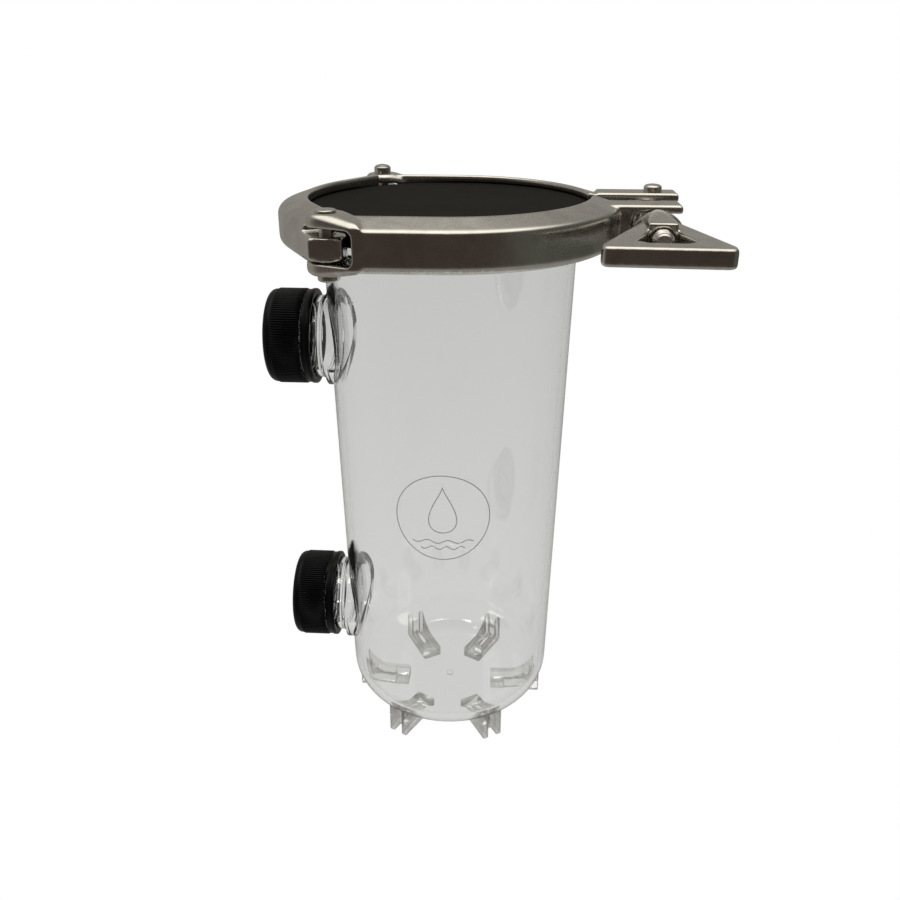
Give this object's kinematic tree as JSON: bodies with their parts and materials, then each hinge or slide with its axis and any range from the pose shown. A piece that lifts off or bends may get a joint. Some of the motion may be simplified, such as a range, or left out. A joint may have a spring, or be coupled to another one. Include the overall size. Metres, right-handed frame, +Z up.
{
  "type": "clamp-top collection jar",
  "caption": "Clear cylindrical collection jar with a flanged mouth, a clamped black lid, capped side ports and moulded feet.",
  "frame": {"origin": "on the jar's axis, in the plane its feet stand on", "axes": "+Z up along the jar's axis; the two side ports point along -X; the clamp closes at +X and its wing nut faces -Y"},
  "size_m": [0.1293, 0.1076, 0.1837],
  "materials": {
    "clear_jar": "clear, lightly handled",
    "black_lid": "satin moulded black",
    "black_cap": "gloss moulded black",
    "black_rubber": "matte",
    "liner_foam": "soft pressed foam",
    "cast_steel": "investment cast and tumbled",
    "turned_steel": "turned"
  },
  "bodies": {
    "jar": {"jar_body": "clear_jar", "lid_gasket": "black_rubber", "lid_disc": "black_lid", "clamp_middle_link": "cast_steel", "hinge_pin_front": "turned_steel", "hinge_pin_rear": "turned_steel", "upper_tamper_band": "black_cap", "lower_tamper_band": "black_cap"},
    "front_arm": {"clamp_front_arm": "cast_steel"},
    "rear_arm": {"clamp_rear_arm": "cast_steel", "swing_bolt_pin": "turned_steel"},
    "swing_bolt": {"swing_bolt": "turned_steel"},
    "nut_washer": {"nut_washer": "turned_steel"},
    "wing_nut": {"wing_nut": "cast_steel"},
    "upper_liner": {"upper_cap_liner": "liner_foam"},
    "upper_cap": {"upper_port_cap": "black_cap"},
    "lower_liner": {"lower_cap_liner": "liner_foam"},
    "lower_cap": {"lower_port_cap": "black_cap"}
  },
  "joints": [
    {"name": "front_arm_hinge", "type": "hinge", "parent": "jar", "child": "front_arm", "pos_m": [-0.02928, -0.04151, 0.175], "axis": [0, 0, -1], "range_deg": [0, 3.6]},
    {"name": "rear_arm_hinge", "type": "hinge", "parent": "jar", "child": "rear_arm", "pos_m": [-0.02578, 0.04377, 0.175], "axis": [0, 0, 1], "range_deg": [0, 3.6]},
    {"name": "swing_bolt_hinge", "type": "hinge", "parent": "rear_arm", "child": "swing_bolt", "pos_m": [0.0608, 0.0105, 0.175], "axis": [0, 0, 1], "range_deg": [0, 100]},
    {"name": "washer_slide", "type": "slide", "parent": "swing_bolt", "child": "nut_washer", "axis": [-0.0732, -0.9973, 0], "range_m": [0, 0.0121]},
    {"name": "nut_turn", "type": "hinge", "parent": "nut_washer", "child": "wing_nut", "pos_m": [0.0608, 0.0105, 0.175], "axis": [-0.0732, -0.9973, 0], "range_deg": [0, 4320]},
    {"name": "upper_liner_slide", "type": "slide", "parent": "jar", "child": "upper_liner", "axis": [-1, 0, 0], "range_m": [0, 0.0062]},
    {"name": "upper_cap_turn", "type": "hinge", "parent": "upper_liner", "child": "upper_cap", "pos_m": [0, 0, 0.1363], "axis": [-1, 0, 0], "range_deg": [0, 810]},
    {"name": "lower_liner_slide", "type": "slide", "parent": "jar", "child": "lower_liner", "axis": [-1, 0, 0], "range_m": [0, 0.0062]},
    {"name": "lower_cap_turn", "type": "hinge", "parent": "lower_liner", "child": "lower_cap", "pos_m": [0, 0, 0.0387], "axis": [-1, 0, 0], "range_deg": [0, 810]}
  ],
  "couplings": [
    {"joint": "washer_slide", "follows": "nut_turn", "m_per_rad": 0.00015915},
    {"joint": "front_arm_hinge", "follows": "nut_turn", "ratio": 0.00081},
    {"joint": "rear_arm_hinge", "follows": "nut_turn", "ratio": 0.00081},
    {"joint": "upper_liner_slide", "follows": "upper_cap_turn", "m_per_rad": 0.00042972},
    {"joint": "lower_liner_slide", "follows": "lower_cap_turn", "m_per_rad": 0.00042972}
  ]
}
